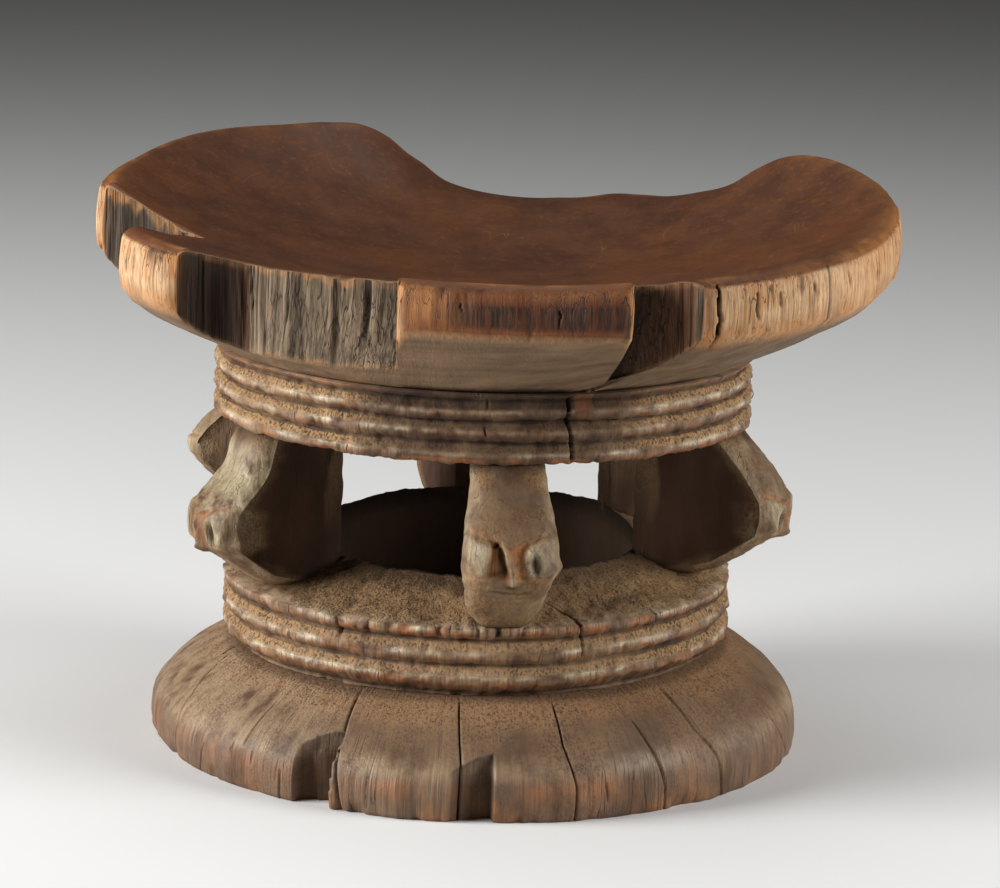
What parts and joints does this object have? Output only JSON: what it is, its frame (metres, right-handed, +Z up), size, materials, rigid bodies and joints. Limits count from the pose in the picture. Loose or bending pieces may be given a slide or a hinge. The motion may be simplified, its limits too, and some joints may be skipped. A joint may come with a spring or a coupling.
{
  "type": "carved stool",
  "caption": "Low carved wooden stool: dished seat with split edges on a ridged drum, radial struts that end in carved faces, a ridged ring and a flared round foot.",
  "frame": {"origin": "on the floor, under the middle of the seat's length and depth", "axes": "+X along the seat's long axis, to the right seen from the front; -Y towards the front, where the seat's edge has split; +Z up"},
  "size_m": [0.294, 0.242, 0.2154],
  "materials": {
    "seat_wood": "dark brown, polished by use on top, grey and fibrous where it has split",
    "drum_wood": "dusty brown, ridges worn pale, dirt in the grooves",
    "strut_wood": "pale worn brown faces, dark sides",
    "foot_wood": "dusty grey brown with radial drying cracks"
  },
  "bodies": {
    "root": {"seat": "seat_wood", "upper_drum": "drum_wood", "strut_front": "strut_wood", "strut_right": "strut_wood", "strut_back_right": "strut_wood", "strut_back": "strut_wood", "strut_left": "strut_wood", "strut_front_left": "strut_wood", "lower_drum": "drum_wood", "base": "foot_wood"}
  },
  "joints": []
}
